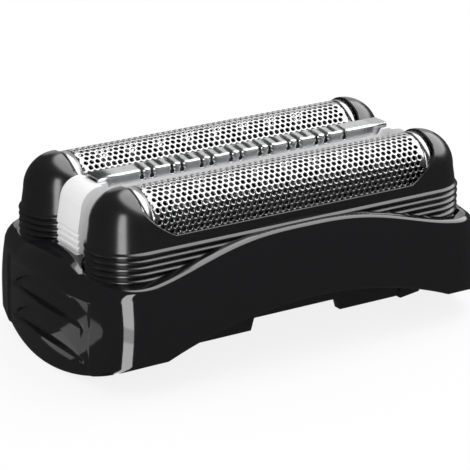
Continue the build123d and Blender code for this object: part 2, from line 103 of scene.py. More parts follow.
@dataclass(frozen=True)
class Finish:
    """A moulded or metal finish with fine grain in its gloss and a slight bump."""

    slot: str
    colour: tuple[float, float, float]
    roughness: float
    metallic: float = 0.0
    specular: float = 0.5
    grain_scale: float = 900.0
    grain_detail: float = 4.0
    grain_stretch: tuple[float, float, float] = (1.0, 1.0, 1.0)
    gloss_variation: float = 0.04
    tone_variation: float = 0.06
    bump: float = 0.02
    bump_height: float = 0.02

    def material(self) -> bpy.types.Material:
        """Make the finish's material once and hand it out after that.

        Returns:
            The node material.
        """
        made = bpy.data.materials.get(self.slot + "_finish")
        if made is not None:
            return made
        made = bpy.data.materials.new(self.slot + "_finish")
        made.use_nodes = True
        nodes, links = made.node_tree.nodes, made.node_tree.links
        shader = nodes["Principled BSDF"]
        shader.inputs["Metallic"].default_value = self.metallic
        shader.inputs["Specular IOR Level"].default_value = self.specular
        place = nodes.new("ShaderNodeTexCoord")
        mapping = nodes.new("ShaderNodeMapping")
        mapping.inputs["Scale"].default_value = self.grain_stretch
        links.new(place.outputs["Object"], mapping.inputs["Vector"])
        grain = nodes.new("ShaderNodeTexNoise")
        grain.inputs["Scale"].default_value = self.grain_scale
        grain.inputs["Detail"].default_value = self.grain_detail
        links.new(mapping.outputs["Vector"], grain.inputs["Vector"])
        gloss = nodes.new("ShaderNodeMapRange")
        gloss.inputs["To Min"].default_value = self.roughness - self.gloss_variation
        gloss.inputs["To Max"].default_value = self.roughness + self.gloss_variation
        links.new(grain.outputs["Fac"], gloss.inputs["Value"])
        links.new(gloss.outputs["Result"], shader.inputs["Roughness"])
        tone = nodes.new("ShaderNodeMix")
        tone.data_type = "RGBA"
        for socket, shade in (("A", 1 - self.tone_variation), ("B", 1 + self.tone_variation)):
            tone.inputs[socket].default_value = (*(channel * shade for channel in self.colour), 1.0)
        links.new(grain.outputs["Fac"], tone.inputs["Factor"])
        links.new(tone.outputs["Result"], shader.inputs["Base Color"])
        relief = nodes.new("ShaderNodeBump")
        relief.inputs["Strength"].default_value = self.bump
        relief.inputs["Distance"].default_value = self.bump_height * MM
        links.new(grain.outputs["Fac"], relief.inputs["Height"])
        links.new(relief.outputs["Normal"], shader.inputs["Normal"])
        return made


BLACK_GLOSS = Finish("black_gloss", (0.008, 0.008, 0.009), 0.07, specular=0.9, gloss_variation=0.015)
BLACK_SATIN = Finish("black_satin", (0.008, 0.008, 0.009), 0.22, specular=0.9, gloss_variation=0.03)
# Blade steel painted far darker than real steel, as painted shade: the slits over the trimmer blade
# read as dark gaps. The cutter blades get the same dark steel.
BLADE_STEEL_PAINTED_SHADE = Finish(
    "blade_steel", (0.10, 0.10, 0.105), 0.42, metallic=1.0, grain_stretch=(1.0, 0.1, 1.0)
)
DARK_CARRIER = Finish("carrier_plastic", (0.03, 0.03, 0.032), 0.45)
GREY_PLASTIC = Finish("grey_plastic", (0.30, 0.31, 0.32), 0.45)
WHITE_PLASTIC = Finish("white_plastic", (0.84, 0.84, 0.85), 0.38, tone_variation=0.02)
FOIL_STEEL = Finish("foil_steel", (0.38, 0.38, 0.385), 0.24, metallic=1.0, gloss_variation=0.06)
COMB_STEEL = Finish(
    "comb_steel", (0.58, 0.585, 0.59), 0.28, metallic=1.0, grain_stretch=(0.08, 1.0, 1.0), bump=0.1
)
SPRING_STEEL = Finish("spring_steel", (0.45, 0.45, 0.45), 0.28, metallic=1.0)


def into_scene(name: str, bm: bmesh.types.BMesh, material: bpy.types.Material) -> bpy.types.Object:
    """Turn a bmesh in millimetres into an object of the scene.

    Args:
        name: The object's name.
        bm: Its shape; it is freed here.
        material: What it is made of.

    Returns:
        The new object, at the origin.
    """
    bmesh.ops.scale(bm, vec=(MM, MM, MM), verts=bm.verts)
    mesh = bpy.data.meshes.new(name)
    bm.to_mesh(mesh)
    bm.free()
    mesh.materials.append(material)
    made = bpy.data.objects.new(name, mesh)
    bpy.context.scene.collection.objects.link(made)
    return made


def publish(
    name: str, bm: bmesh.types.BMesh, finish: Finish, body: Body, stands_for: tuple[str, ...],
    sharp: float = 32.0, wall: float = 0.0,
) -> None:
    """Turn a bmesh in millimetres into a finished piece that rides on a body.

    Args:
        name: The piece's name.
        bm: Its shape; it is freed here.
        finish: What it is dressed in.
        body: The body that carries it.
        stands_for: The CAD nodes it replaces.
        sharp: Edges that turn by more than this many degrees are drawn sharp.
        wall: Thickness that a sheet gets on its inner side, in millimetres.
    """
    piece = into_scene(name, bm, finish.material())
    for polygon in piece.data.polygons:
        polygon.use_smooth = True
    piece.data.set_sharp_from_angle(angle=radians(sharp))
    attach(piece, body.value)
    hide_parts(*stands_for)
    if wall:
        thicken = piece.modifiers.new("wall", "SOLIDIFY")
        thicken.thickness = wall * MM
        thicken.offset = -1.0
    LOG.info("%s: %d faces on %s", name, len(piece.data.polygons), body.value)


def grid_sheet(bm: bmesh.types.BMesh, rows: list[list[Vector]]) -> None:
    """Add a grid and lay its vertices on a table of places.

    Args:
        bm: The bmesh that gets the grid.
        rows: Places, one list for each row, all of the same length.
    """
    across, along = len(rows[0]) - 1, len(rows) - 1
    made = bmesh.ops.create_grid(bm, x_segments=across, y_segments=along, size=1.0)["verts"]
    for vert in made:
        column = round((vert.co.x + 1) / 2 * across)
        row = round((vert.co.y + 1) / 2 * along)
        vert.co = rows[row][column]


def complete_quarter(bm: bmesh.types.BMesh) -> None:
    """Mirror a quarter of a shape across both axes, weld the seams and turn the faces outwards.

    Args:
        bm: The bmesh with the quarter.
    """
    bmesh.ops.remove_doubles(bm, verts=bm.verts, dist=WELD)
    for axis in "XY":
        everything = [*bm.verts, *bm.edges, *bm.faces]
        bmesh.ops.mirror(bm, geom=everything, matrix=Matrix(), merge_dist=WELD, axis=axis)
        bmesh.ops.remove_doubles(bm, verts=bm.verts, dist=WELD)
    bmesh.ops.recalc_face_normals(bm, faces=bm.faces)


def cut(bm: bmesh.types.BMesh, place: Vector, facing: Vector, trim: bool = True) -> None:
    """Cut everything along a plane.

    Args:
        bm: The bmesh.
        place: A point of the plane.
        facing: The way that the plane faces.
        trim: Whether what lies beyond the plane is taken away.
    """
    everything = [*bm.verts, *bm.edges, *bm.faces]
    bmesh.ops.bisect_plane(
        bm, geom=everything, dist=CUT_TOLERANCE, plane_co=place, plane_no=facing, clear_outer=trim
    )


def bend_down(bm: bmesh.types.BMesh, flat: float, radius: float, top: float) -> None:
    """Bend a flat strip down on both sides of its middle.

    Args:
        bm: The strip, which runs along x.
        flat: Half of the width that stays flat on top.
        radius: Radius of the bend on each side.
        top: Height of the top.
    """
    for vert in bm.verts:
        side = -1 if vert.co.y < 0 else 1
        way = abs(vert.co.y)
        turn = (way - flat) / radius
        if way <= flat:
            vert.co.z = top
        elif turn <= pi / 2:
            vert.co.y = side * (flat + radius * sin(turn))
            vert.co.z = top - radius * (1 - cos(turn))
        else:
            vert.co.y = side * (flat + radius)
            vert.co.z = top - radius - (turn - pi / 2) * radius


@dataclass(frozen=True)
class Rails:
    """The low part of a bar's top, between its two ends."""

    reach: float
    ramp: float
    above: float
    drop: float

    def lower(self, bm: bmesh.types.BMesh) -> None:
        """Lower the bar's top, with a slope at each end of the low part.

        Args:
            bm: The bar, in millimetres.
        """
        outer = self.reach + self.ramp
        for place in (self.reach, outer, -self.reach, -outer):
            cut(bm, Vector((place, 0, 0)), Vector((1, 0, 0)), trim=False)
        middle = self.reach + self.ramp / 2
        low = [vert for vert in bm.verts if abs(vert.co.x) < middle and vert.co.z > self.above]
        bmesh.ops.translate(bm, vec=(0, 0, -self.drop), verts=low)


def softened_copy(
    node: str, finish: Finish, body: Body, width: float, segments: int = 2, rails: Rails | None = None
) -> None:
    """Publish a copy of a CAD node with its sharp edges rounded off.

    Args:
        node: The CAD node.
        finish: What the piece is dressed in.
        body: The body that carries it.
        width: How far each edge is rounded, in millimetres.
        segments: Faces across each round.
        rails: The part of its top that is lowered first, if any.
    """
    bm = bmesh.new()
    bm.from_mesh(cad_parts[node].data)
    bmesh.ops.scale(bm, vec=(1 / MM, 1 / MM, 1 / MM), verts=bm.verts)
    bmesh.ops.remove_doubles(bm, verts=bm.verts, dist=WELD)
    bmesh.ops.dissolve_limit(bm, angle_limit=FLAT_ANGLE, verts=bm.verts, edges=bm.edges)
    if rails:
        rails.lower(bm)
    edges = [edge for edge in bm.edges if edge.is_manifold and edge.calc_face_angle(0) > ROUND_ANGLE]
    bmesh.ops.bevel(
        bm, geom=edges, offset=width, offset_type="OFFSET", segments=segments, profile=0.5,
        affect="EDGES", material=-1, clamp_overlap=True,
    )
    publish(node.replace("_", "-") + "-moulding", bm, finish, body, (node,), sharp=40.0)


class PlanCurve:
    """A quarter of the frame's outline: bulged end, round corner, bulged side."""

    def __init__(
        self, length: float, width: float, end_bulge: float, side_bulge: float, corner: float
    ) -> None:
        """Work out the three arcs.

        Args:
            length: Half of the outline's length.
            width: Half of its width.
            end_bulge: How far the end bows out.
            side_bulge: How far the side bows out.
            corner: Radius of the corner.
        """
        self.corner = corner
        self.end_radius = (end_bulge**2 + (width - side_bulge) ** 2) / (2 * end_bulge)
        self.side_radius = (side_bulge**2 + (length - end_bulge) ** 2) / (2 * side_bulge)
        self.end_centre = Vector((length - self.end_radius, 0))
        self.side_centre = Vector((0, width - self.side_radius))
        near, far = self.end_radius - corner, self.side_radius - corner
        run = self.side_centre - self.end_centre
        gap = run.length
        along = (near**2 - far**2 + gap**2) / (2 * gap)
        rise = sqrt(near**2 - along**2)
        run.normalize()
        across = Vector((-run.y, run.x))
        middle = self.end_centre + run * along
        choices = (middle + across * rise, middle - across * rise)
        self.corner_centre = max(choices, key=lambda point: point.x + point.y)
        lean = self.corner_centre - self.end_centre
        self.first = atan2(lean.y, lean.x)
        lean = self.corner_centre - self.side_centre
        self.second = atan2(lean.y, lean.x)

    def at(self, place: float) -> tuple[Vector, Vector]:
        """A point of the outline and the way it faces.

        Args:
            place: 0 to 1 on the end, 1 to 2 round the corner, 2 to 3 on the side.

        Returns:
            The point and its outward normal, both flat.
        """
        if place <= 1:
            turn, centre, radius = self.first * place, self.end_centre, self.end_radius
        elif place <= 2:
            turn = self.first + (self.second - self.first) * (place - 1)
            centre, radius = self.corner_centre, self.corner
        else:
            turn = self.second + (pi / 2 - self.second) * (place - 2)
            centre, radius = self.side_centre, self.side_radius
        facing = Vector((cos(turn), sin(turn)))
        return centre + facing * radius, facing


@dataclass
class OuterFrame:
    """The gloss black frame with its waved edges, round cut-outs and finger grips."""

    length: float = 56.0
    width: float = 33.1
    end_bulge: float = 2.7
    side_bulge: float = 0.5
    corner: float = 5.2
    corner_flare: float = 2.0
    end_lean: float = 0.5
    side_lean: float = 2.2
    lean_start: float = 5.0
    lean_run: float = 11.4
    wall: float = 1.3
    deck_under: float = 10.8
    rim_height: float = 12.8
    wave_peak: float = 16.4
    wave_run: float = 23.5
    wave_power: float = 1.45
    arch_rise: float = 7.8
    arch_half: float = 27.4
    lobe_rise: float = 4.0
    bottom_round: float = 0.45
    foot_lift: float = 0.1
    side_round: float = 0.6
    end_round: float = 2.2
    hole_round: float = 0.3
    dome_x: float = 20.6
    dome_y: float = 7.95
    dome_hole: float = 5.35
    nose_x: float = 24.35
    nose_y: float = 2.9
    nose_rise: float = 1.1
    nose_half: float = 6.4
    nose_lead: float = 0.5
    nose_fade: float = 27.6
    # Places on the outline, from 0 to 3, where the cut-outs' edge changes
    nose_end: float = 0.27
    notch_end: float = 0.33
    dome_meet: float = 0.7
    side_start: float = 2.08
    grip_tops: tuple[float, float] = (6.3, 10.3)
    grip_half: float = 8.8
    grip_arch: float = 3.4
    grip_thickness: float = 2.9
    grip_depth: float = 0.6
    grip_fade: float = 0.6
    grip_edge: float = 0.13
    grip_least: float = 2.2
    grip_places: tuple[float, float] = (1.0, 1.5)
    panel_half: float = 9.9
    panel_depth: float = 0.22
    panel_top: float = 10.4
    panel_edge: float = 0.1
    panel_gap: float = 0.2
    brow_gap: float = 0.1
    # Rows between the marks of the wall, and which of these bands are grips
    wall_steps: tuple[int, ...] = (5, 1, 10, 1, 2, 1, 10, 1, 5, 3)
    grip_bands: tuple[int, int] = (2, 6)
    edge_steps: int = 4
    brow_steps: int = 6
    deck_steps: int = 8
    end_columns: int = 50
    corner_columns: int = 30
    side_columns: int = 26

    def outline(self, z: float, margin: float = 0.0) -> PlanCurve:
        """The wall's outline at a height.

        Args:
            z: The height.
            margin: How far inside the outer face.

        Returns:
            The quarter outline.
        """
        lean = (max(0.0, z - self.lean_start) / self.lean_run) ** 2
        return PlanCurve(
            self.length / 2 - self.end_lean * lean - margin,
            self.width / 2 - self.side_lean * lean - margin,
            self.end_bulge,
            self.side_bulge,
            self.corner + self.corner_flare * lean - margin,
        )

    def top(self, x: float, y: float) -> float:
        """Height of the deck: the wave along the sides and the nose at the ends."""
        wave = min(1.0, abs(x) / self.wave_run) ** self.wave_power
        height = self.rim_height + (self.wave_peak - self.rim_height) * (1 + cos(pi * wave)) / 2
        hump = max(0.0, 1 - (y / self.nose_half) ** 2)
        fade = 1 - smoothstep(self.nose_x, self.nose_fade, abs(x))
        ends = smoothstep(self.dome_x, self.nose_x - self.nose_lead, abs(x))
        return height + self.nose_rise * hump * fade * ends

    def bottom(self, x: float, y: float) -> float:
        """Height of the lower edge: the arch along the sides and the lobe at the ends."""
        reach = (self.arch_half**2 + self.arch_rise**2) / (2 * self.arch_rise)
        arch = self.arch_rise - reach + sqrt(reach**2 - min(abs(x), self.arch_half) ** 2)
        half = self.width / 2
        swing = (half**2 + self.lobe_rise**2) / (2 * self.lobe_rise)
        lobe = swing - sqrt(swing**2 - min(abs(y), half) ** 2)
        return max(arch, lobe)

    def opening(self, place: float) -> Vector:
        """The point of the cut-outs' edge that faces a place of the outline.

        Args:
            place: Place on the outline, 0 to 3.

        Returns:
            The flat point on the edge of the nose cut, the dome hole or the straight side.
        """
        centre = Vector((self.dome_x, self.dome_y))
        start = asin((self.nose_y - self.dome_y) / self.dome_hole)
        if place <= self.nose_end:
            return Vector((self.nose_x, self.nose_y * place / self.nose_end))
        if place <= self.notch_end:
            share = (place - self.nose_end) / (self.notch_end - self.nose_end)
            corner_x = centre.x + self.dome_hole * cos(start)
            return Vector((self.nose_x + (corner_x - self.nose_x) * share, self.nose_y))
        if place < self.side_start:
            outline = self.outline(self.rim_height)
            toward = outline.at(max(place, self.dome_meet))[0] - centre
            turn = atan2(toward.y, toward.x)
            if place < self.dome_meet:
                run = self.dome_meet - self.notch_end
                turn = start + (turn - start) * (place - self.notch_end) / run
            turn = min(turn, pi / 2)
            return centre + Vector((cos(turn), sin(turn))) * self.dome_hole
        share = (place - self.side_start) / (3 - self.side_start)
        return Vector((self.dome_x * (1 - share), self.dome_y + self.dome_hole))

    def wall_heights(self, place: float, y: float, low: float, high: float) -> list[float]:
        """Heights of the wall's rows, which follow the grips' arcs on the ends.

        Args:
            place: Place on the outline.
            y: Its distance from the middle.
            low: Where the wall starts.
            high: Where it ends.

        Returns:
            The same number of heights for every place.
        """
        share = 1 - min(1.0, (y / self.grip_half) ** 2)
        marks = [low]
        for top in self.grip_tops:
            tip = top - self.grip_arch
            over = tip + self.grip_arch * share
            under = tip + (self.grip_arch - self.grip_thickness) * share
            under = min(under, over - self.grip_least * self.grip_edge)
            for edge in (under, over):
                marks += [edge - self.grip_edge, edge + self.grip_edge]
        marks += [min(max(self.panel_top, marks[-1] + self.panel_gap), high - self.brow_gap), high]
        curved = [low]
        for start, end, count in zip(marks, marks[1:], self.wall_steps):
            curved += spread(start, end, count)[1:]
        even = spread(low, high, sum(self.wall_steps))
        ease = smoothstep(*self.grip_places, place)
        return [one * (1 - ease) + other * ease for one, other in zip(curved, even)]

    def in_grip(self, row: int) -> bool:
        """Whether a row of the wall lies on the floor of a grip."""
        starts = {band: sum(self.wall_steps[:band]) for band in self.grip_bands}
        return any(0 <= row - start <= self.wall_steps[band] for band, start in starts.items())

    def hollow(self, y: float, z: float, row: int) -> float:
        """How deep the end face lies below the plain outline.

        Args:
            y: Distance from the middle.
            z: Height.
            row: Row of the wall, which tells whether it is inside a grip.

        Returns:
            The depth.
        """
        edge = smoothstep(self.panel_half + self.panel_edge, self.panel_half - self.panel_edge, y)
        edge *= smoothstep(self.panel_top + self.panel_edge, self.panel_top - self.panel_edge, z)
        depth = self.panel_depth * edge
        if y < self.grip_half and self.in_grip(row):
            depth += self.grip_depth * (1 - (y / self.grip_half) ** 2) ** self.grip_fade
        return depth

    def section(self, place: float) -> list[Vector]:
        """The closed wall section at one place of the outline, from the inner foot round and back.

        Args:
            place: Place on the outline, 0 to 3.

        Returns:
            Its points, the last the same as the first.
        """
        foot = self.outline(self.lean_start).at(place)[0]
        low = self.bottom(foot.x, foot.y)
        foot, facing = self.outline(low + self.bottom_round).at(place)
        foot.x -= self.hollow(foot.y, low, 0)
        inner = self.outline(self.deck_under, self.wall).at(place)[0]
        inner_low = max(self.bottom(inner.x, inner.y), low + self.foot_lift)
        turn = spread(0, pi / 2, self.edge_steps)
        points = [Vector((inner.x, inner.y, inner_low))]
        for angle in turn[:-1]:
            inset = self.bottom_round * (1 - sin(angle))
            spot = foot - facing * inset
            points.append(Vector((spot.x, spot.y, low + self.bottom_round * (1 - cos(angle)))))
        round_off = self.side_round + (self.end_round - self.side_round) * facing.x**2
        shoulder = self.outline(self.rim_height - round_off).at(place)[0]
        edge = shoulder - facing * round_off
        high = self.top(edge.x, edge.y)
        heights = self.wall_heights(place, foot.y, low + self.bottom_round, high - round_off)
        for row, z in enumerate(heights):
            spot = self.outline(z).at(place)[0]
            points.append(Vector((spot.x - self.hollow(spot.y, z, row), spot.y, z)))
        brow, facing = self.outline(high - round_off).at(place)
        for angle in spread(0, pi / 2, self.brow_steps)[1:]:
            spot = brow - facing * round_off * (1 - cos(angle))
            points.append(Vector((spot.x, spot.y, high - round_off * (1 - sin(angle)))))
        rim = self.opening(place)
        start = Vector(points[-1][:2])
        away = (start - rim).normalized()
        stop = rim + away * self.hole_round
        for share in spread(0, 1, self.deck_steps)[1:]:
            spot = start.lerp(stop, share)
            points.append(Vector((spot.x, spot.y, self.top(spot.x, spot.y))))
        ledge = points[-1].z
        for angle in turn[1:]:
            spot = stop - away * self.hole_round * sin(angle)
            points.append(Vector((spot.x, spot.y, ledge - self.hole_round * (1 - cos(angle)))))
        points.append(Vector((rim.x, rim.y, self.deck_under)))
        points.append(Vector((inner.x, inner.y, self.deck_under)))
        points.append(points[0].copy())
        return points

    def build(self) -> None:
        """Lay a quarter of the frame over a grid, mirror it twice and dress it."""
        places = spread(0, 1, self.end_columns)
        places += spread(1, 2, self.corner_columns)[1:]
        places += spread(2, 3, self.side_columns)[1:]
        bm = bmesh.new()
        grid_sheet(bm, [self.section(place) for place in places])
        complete_quarter(bm)
        publish("frame-moulding", bm, BLACK_GLOSS, Body.FRAME, ("outer_frame",))


@dataclass
class FoilUnit:
    """A foil frame with domed ends and ribs, and the perforated foil over its window."""

    side: Side
    axis_y: float = 7.95
    dome_x: float = 20.6
    dome_axis: float = 18.3
    dome_radius: float = 4.4
    rib_radius: float = 5.0
    rib_depth: float = 0.3
    rib_pitch: float = 0.78
    rib_power: float = 0.6
    ribs: int = 5
    rib_bottom: float = 12.4
    rib_start: float = 0.2
    foot: float = 11.9
    wall: float = 0.42
    window_bottom: float = 17.5
    window_corner: float = 4.0
    rib_rows: int = 10
    rise_rows: int = 14
    crown_rows: int = 10
    side_columns: int = 8
    corner_columns: int = 14
    end_columns: int = 20
    foil_radius: float = 3.9
    foil_axis: float = 18.55
    foil_foot: float = 15.9
    foil_half: float = 20.5
    foil_wall: float = 0.1
    hole_pitch: float = 0.8
    hole_radius: float = 0.27
    hole_inset: float = 0.1
    plain_end: float = 1.7
    plain_foot: float = 1.75
    plain_lines: int = 72

    @property
    def body(self) -> Body:
        """The body that carries this unit."""
        return Body.FRONT_FOIL if self.side is Side.FRONT else Body.REAR_FOIL

    @property
    def rib_top(self) -> float:
        """Where the ribs end and the taper starts."""
        return self.rib_bottom + self.ribs * self.rib_pitch

    def half_width(self, z: float) -> float:
        """Half of the frame's width at a height: plain foot, ribs, taper and dome."""
        valley = self.rib_radius - self.rib_depth
        if z <= self.rib_bottom:
            fall = smoothstep(self.rib_bottom - self.rib_start, self.rib_bottom, z)
            return self.rib_radius - self.rib_depth * fall
        if z < self.rib_top:
            wave = 0.5 - 0.5 * cos(2 * pi * (z - self.rib_bottom) / self.rib_pitch)
            return valley + self.rib_depth * wave**self.rib_power
        if z < self.dome_axis:
            share = (z - self.rib_top) / (self.dome_axis - self.rib_top)
            return valley + (self.dome_radius - valley) * share
        return sqrt(max(0.0, self.dome_radius**2 - (z - self.dome_axis) ** 2))

    def window_edge(self, x: float) -> float:
        """Height of the window's lower edge, with its round corners."""
        over = max(0.0, x - (self.dome_x - self.window_corner))
        arc = self.window_corner - sqrt(max(0.0, self.window_corner**2 - over**2))
        return self.window_bottom + (arc + over) / 2

    def rise(self, top: float) -> list[float]:
        """Heights from above the ribs to a top, evenly spaced along the curve of the dome."""
        start = self.rib_top
        if top <= self.dome_axis:
            return spread(start, top, self.rise_rows)
        straight = self.dome_axis - start
        bend = asin(min(1.0, (top - self.dome_axis) / self.dome_radius))
        heights = []
        for way in spread(0, straight + bend * self.dome_radius, self.rise_rows):
            over = way - straight
            if over < 0:
                heights.append(start + way)
            else:
                heights.append(self.dome_axis + self.dome_radius * sin(over / self.dome_radius))
        return heights

    def build_frame(self) -> None:
        """Lay the ribbed wall and the domed end over grids, mirror them and thicken them."""
        low = [self.foot, self.rib_bottom - self.rib_start]
        low += spread(self.rib_bottom, self.rib_top, self.rib_rows * self.ribs)[:-1]
        bend_x = self.dome_x - self.window_corner
        stations = spread(0, bend_x, self.side_columns)
        for turn in spread(0, pi / 2, self.corner_columns)[1:]:
            stations.append(bend_x + self.window_corner * sin(turn))
        sides = []
        for x in stations:
            heights = low + self.rise(self.window_edge(x))
            sides.append([Vector((x, self.half_width(z), z)) for z in heights])
        corner_top = self.window_bottom + self.window_corner
        heights = low + self.rise(corner_top)
        bend = asin((corner_top - self.dome_axis) / self.dome_radius)
        for turn in spread(bend, pi / 2, self.crown_rows)[1:]:
            heights.append(self.dome_axis + self.dome_radius * sin(turn))
        rings = [(self.half_width(z), z) for z in heights]
        ends = []
        for turn in spread(pi / 2, 0, self.end_columns):
            along, across = cos(turn), sin(turn)
            ends.append([Vector((self.dome_x + half * along, half * across, z)) for half, z in rings])
        bm = bmesh.new()
        grid_sheet(bm, sides)
        grid_sheet(bm, ends)
        complete_quarter(bm)
        bmesh.ops.translate(bm, vec=(0, self.side.value * self.axis_y, 0), verts=bm.verts)
        name, node = f"{self.side.word}-foil-surround", f"{self.side.word}_foil_frame"
        publish(name, bm, BLACK_SATIN, self.body, (node,), wall=self.wall)

    def cell(self, bm: bmesh.types.BMesh, holed: bool) -> list[bmesh.types.BMFace]:
        """One six-sided cell of the sheet, with its round hole or plain.

        Args:
            bm: The bmesh that gets the cell.
            holed: Whether the cell has its hole.

        Returns:
            The cell's faces.
        """
        corner = self.hole_pitch / sqrt(3)
        step = pi / 6
        made = bmesh.ops.create_circle(
            bm, segments=12, radius=corner, cap_ends=True, matrix=Matrix.Rotation(pi / 2, 4, "Z")
        )["verts"]
        face = made[0].link_faces[0]
        for vert in made:
            turn = atan2(vert.co.y, vert.co.x)
            if round((turn - pi / 2) / step) % 2:
                vert.co *= cos(step)
        if not holed:
            return [face]
        rim = bmesh.ops.inset_individual(
            bm, faces=[face], thickness=self.hole_inset, use_even_offset=True
        )["faces"]
        for vert in face.verts:
            vert.co = vert.co.normalized() * self.hole_radius
        bmesh.ops.delete(bm, geom=[face], context="FACES_ONLY")
        return rim

    def build_foil(self) -> None:
        """Tile the sheet with holes, trim it, add its plain ends and bend it over the arch."""
        half_across = self.foil_radius * pi / 2 + self.foil_axis - self.foil_foot
        step_across = self.hole_pitch * sqrt(3) / 2
        reach = self.foil_half - self.plain_end
        seam = reach + self.hole_pitch / 2
        bm = bmesh.new()
        with_hole = self.cell(bm, True)
        plain = self.cell(bm, False)
        samples = {True: with_hole, False: plain}
        columns = ceil(self.foil_half / self.hole_pitch) + 1
        count = ceil(half_across / step_across) + 1
        for line in range(-count, count + 1):
            shift = self.hole_pitch / 2 * (line % 2)
            across = line * step_across
            for column in range(-columns, columns + 1):
                x = column * self.hole_pitch + shift
                holed = abs(x) < reach and abs(across) < half_across - self.plain_foot
                copied = bmesh.ops.duplicate(bm, geom=samples[holed])["geom"]
                verts = [item for item in copied if isinstance(item, bmesh.types.BMVert)]
                bmesh.ops.translate(bm, vec=(x, across, 0), verts=verts)
        bmesh.ops.delete(bm, geom=[*with_hole, *plain], context="FACES")
        bmesh.ops.remove_doubles(bm, verts=bm.verts, dist=WELD)
        for normal, limit in (((1, 0, 0), seam), ((0, 1, 0), half_across)):
            for sign in (-1, 1):
                way = Vector(normal) * sign
                cut(bm, way * limit, way)
        lines = spread(-half_across, half_across, self.plain_lines)
        for low, high in ((-self.foil_half, -seam), (seam, self.foil_half)):
            grid_sheet(bm, [[Vector((low, line, 0)), Vector((high, line, 0))] for line in lines])
        bend_down(bm, 0.0, self.foil_radius, self.foil_axis + self.foil_radius)
        bmesh.ops.recalc_face_normals(bm, faces=bm.faces)
        bmesh.ops.translate(bm, vec=(0, self.side.value * self.axis_y, 0), verts=bm.verts)
        name, node = f"{self.side.word}-foil-sheet", f"{self.side.word}_foil"
        publish(name, bm, FOIL_STEEL, self.body, (node,), wall=self.foil_wall)

    def build(self) -> None:
        """Make the frame and the foil."""
        self.build_frame()
        self.build_foil()


@dataclass
class TrimmerComb:
    """The folded steel channel whose top is slit into slanted fingers."""

    half_length: float = 20.6
    half_width: float = 1.4
    top: float = 21.95
    bottom: float = 17.8
    wall: float = 0.25
    fold: float = 0.35
    slits: int = 22
    pitch: float = 1.375
    centre_x: float = -0.2
    slit_half: float = 0.16
    eye_half: float = 0.34
    slant: float = -0.3
    drop: float = 1.25
    stop: float = 0.25
    turn_every: int = 3
    tip_run: float = 0.5
    row_step: float = 0.11
    plain_end: float = 3.0
    plain_margin: float = 0.1
    finger_share: float = 0.36
    slit_hold: float = 0.05

    def shift(self, across: float) -> float:
        """How far the slant moves a place of the strip along it."""
        return -self.slant * smoothstep(-self.half_width, self.half_width, across)

    def slit_reach(self, index: int) -> tuple[float, float]:
        """How far a slit goes on the near and the far side.

        Args:
            index: Which slit, counted from the left.

        Returns:
            Its lowest and highest place across the strip.
        """
        bend = self.half_width - self.fold + self.fold * pi / 2
        long_end = bend - self.fold + self.drop
        short_end = self.half_width - self.stop
        if index % self.turn_every == self.turn_every - 1:
            return -short_end, long_end
        return -long_end, short_end

    def opening(self, across: float, reach: tuple[float, float]) -> float:
        """Half of a slit's width at a place, wide at its round eye and closed past its ends.

        Args:
            across: The place across the strip.
            reach: The slit's ends.

        Returns:
            Half of the slit's width there.
        """
        low, high = reach
        if across <= low or across >= high:
            return 0.0
        eye_low = abs(low) > abs(high)
        from_eye = across - low if eye_low else high - across
        from_tip = high - across if eye_low else across - low
        round_eye = self.eye_half**2 - (from_eye - self.eye_half) ** 2
        eye = sqrt(max(0.0, round_eye))
        taper = min(1.0, sqrt(from_tip / self.tip_run))
        return max(eye, self.slit_half * taper if from_eye > self.eye_half else eye)

    def build(self) -> None:
        """Lay the slit strip over a grid, take out the slits, fold the strip and thicken it."""
        half = self.half_width + (self.top - self.bottom) - self.fold * (2 - pi / 2)
        ends = {*self.slit_reach(0), *self.slit_reach(self.turn_every - 1)}
        marks = sorted({-half, 0.0, half} | ends)
        rows = []
        for start, end in zip(marks, marks[1:]):
            rows += spread(start, end, max(2, ceil((end - start) / self.row_step)))[:-1]
        rows.append(half)
        first = self.centre_x - (self.slits - 1) / 2 * self.pitch
        last = first + (self.slits - 1) * self.pitch
        margin = self.finger_share * self.pitch
        columns = [(-self.half_length, None, 0), (-self.half_length + self.plain_end, None, 0)]
        for index in range(self.slits):
            middle = first + index * self.pitch
            columns += [(middle - margin, None, 0), (middle, index, -1), (middle, index, 1)]
        columns += [(last + margin, None, 0), (self.half_length - self.plain_end, None, 0)]
        columns.append((self.half_length, None, 0))
        table = []
        for across in rows:
            shift = self.shift(across)
            line = []
            for x, index, sign in columns:
                gap = 0.0 if index is None else sign * self.opening(across, self.slit_reach(index))
                move = shift if abs(x) < self.half_length - self.plain_margin else 0.0
                line.append(Vector((x + move + gap, across, 0)))
            table.append(line)
        bm = bmesh.new()
        grid_sheet(bm, table)
        narrow = [face for face in bm.faces if self.in_slit(face.calc_center_median(), first)]
        bmesh.ops.delete(bm, geom=narrow, context="FACES")
        bmesh.ops.remove_doubles(bm, verts=bm.verts, dist=WELD)
        bend_down(bm, self.half_width - self.fold, self.fold, self.top)
        bmesh.ops.recalc_face_normals(bm, faces=bm.faces)
        publish("trimmer-comb-strip", bm, COMB_STEEL, Body.TRIMMER, ("trimmer_comb",), wall=self.wall)

    def in_slit(self, place: Vector, first: float) -> bool:
        """Whether a place of the flat strip lies on the middle line of a slit.

        Args:
            place: The place.
            first: Where the first slit is.

        Returns:
            True in a slit.
        """
        along = place.x - self.shift(place.y) - first
        index = round(along / self.pitch)
        low, high = self.slit_reach(index)
        if abs(along - index * self.pitch) >= self.slit_hold:
            return False
        return 0 <= index < self.slits and low < place.y < high


